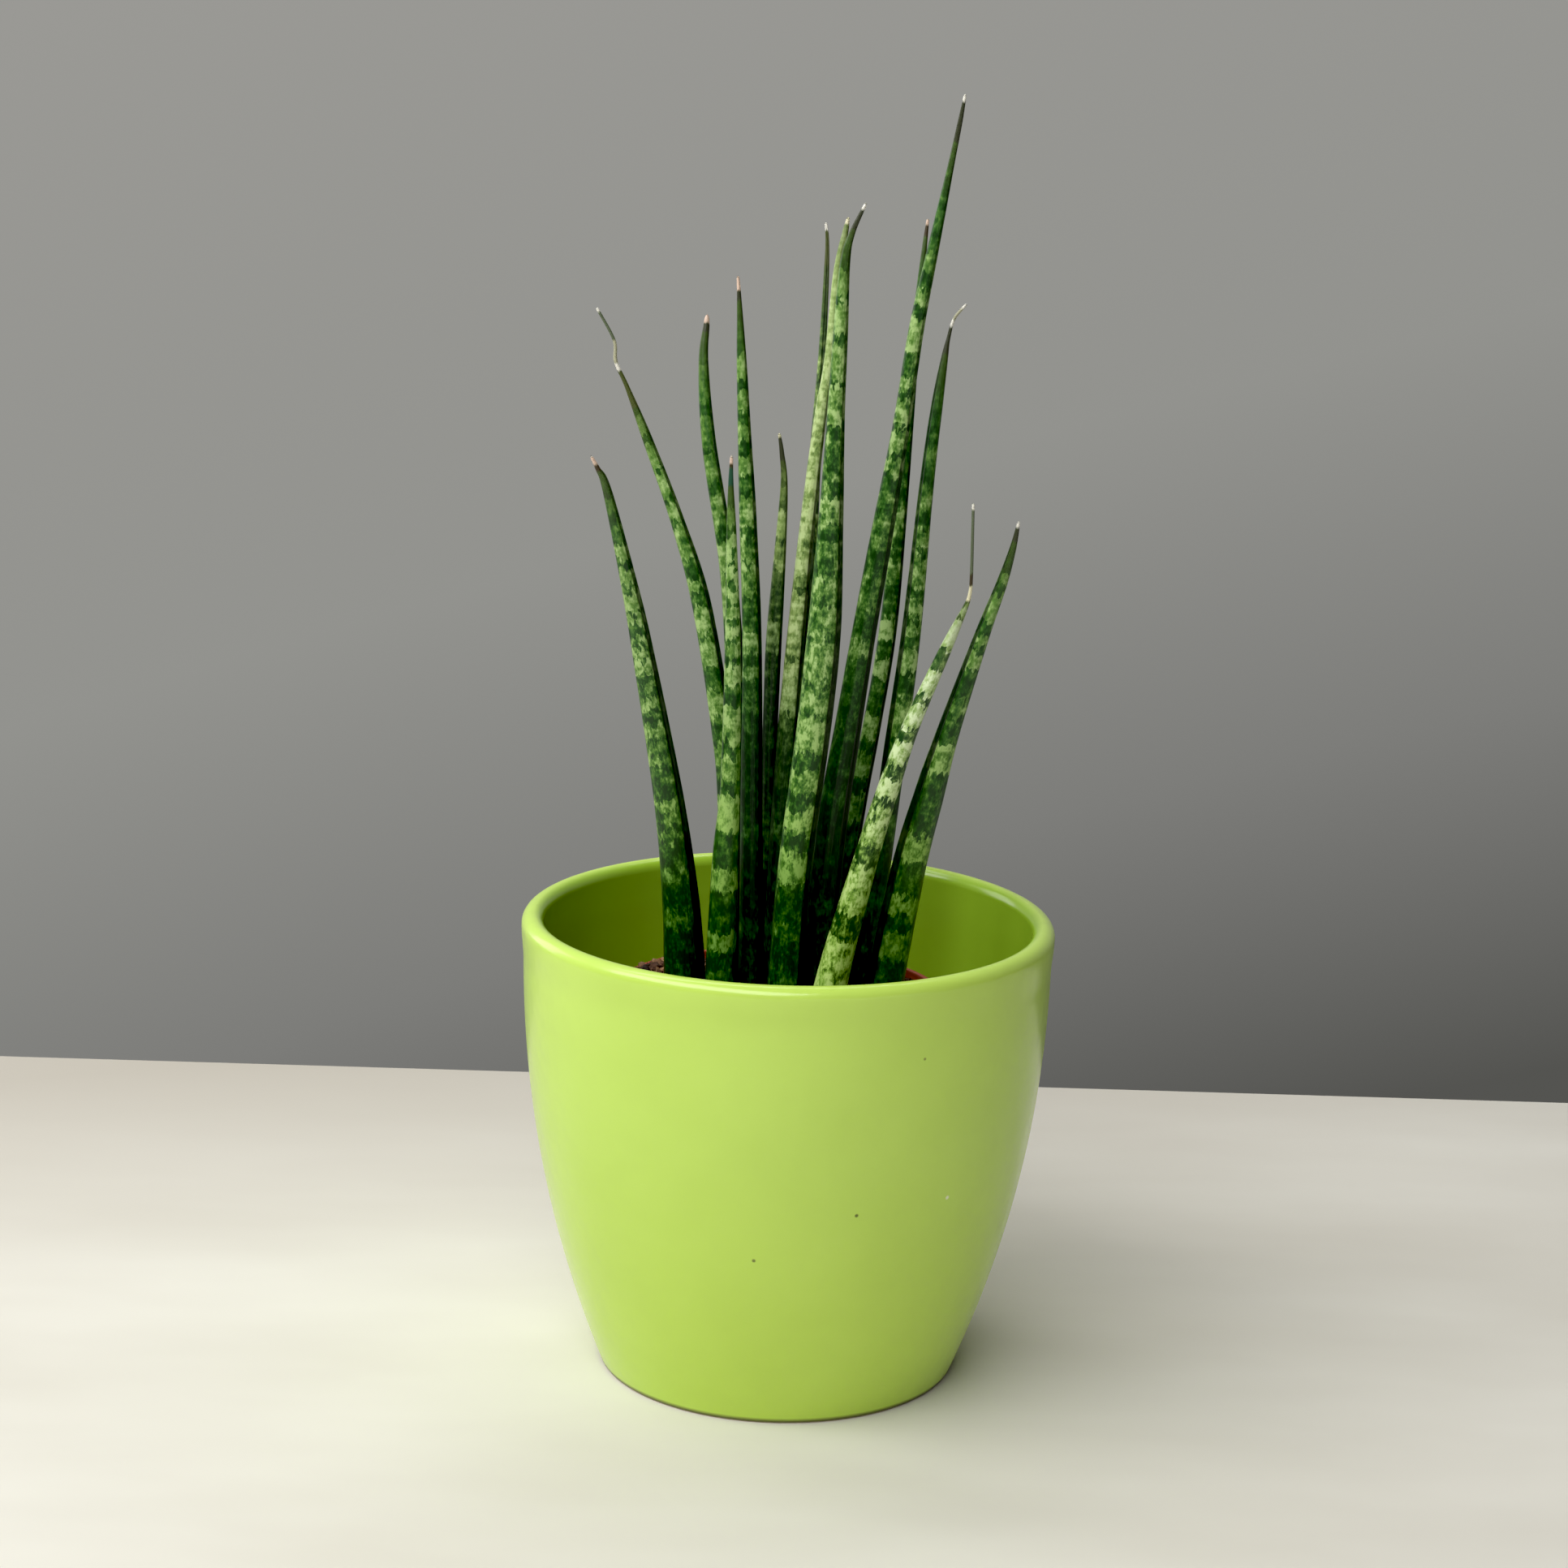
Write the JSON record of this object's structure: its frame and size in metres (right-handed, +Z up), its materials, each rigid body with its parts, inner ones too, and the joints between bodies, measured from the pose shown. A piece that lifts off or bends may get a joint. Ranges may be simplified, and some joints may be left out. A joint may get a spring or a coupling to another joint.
{
  "type": "potted fernwood snake plant",
  "caption": "Upright clump of slim banded snake plant leaves in potting soil, in a plastic nursery pot standing inside a glazed round cover pot.",
  "frame": {"origin": "centre of the cover pot's underside, on the surface that it stands on", "axes": "+Z up, along the pot's axis; -Y towards the side that the picture shows"},
  "size_m": [0.1386, 0.1386, 0.3317],
  "materials": {
    "glaze": "gloss",
    "nursery_plastic": "satin",
    "potting_soil": "matte",
    "leaf": "satin"
  },
  "bodies": {
    "root": {"cover_pot": "glaze", "nursery_pot": "nursery_plastic", "soil": "potting_soil", "leaf_01": "leaf", "leaf_02": "leaf", "leaf_03": "leaf", "leaf_04": "leaf", "leaf_05": "leaf", "leaf_06": "leaf", "leaf_07": "leaf", "leaf_08": "leaf", "leaf_09": "leaf", "leaf_10": "leaf", "leaf_11": "leaf", "leaf_12": "leaf", "leaf_13": "leaf", "leaf_14": "leaf"}
  },
  "joints": []
}
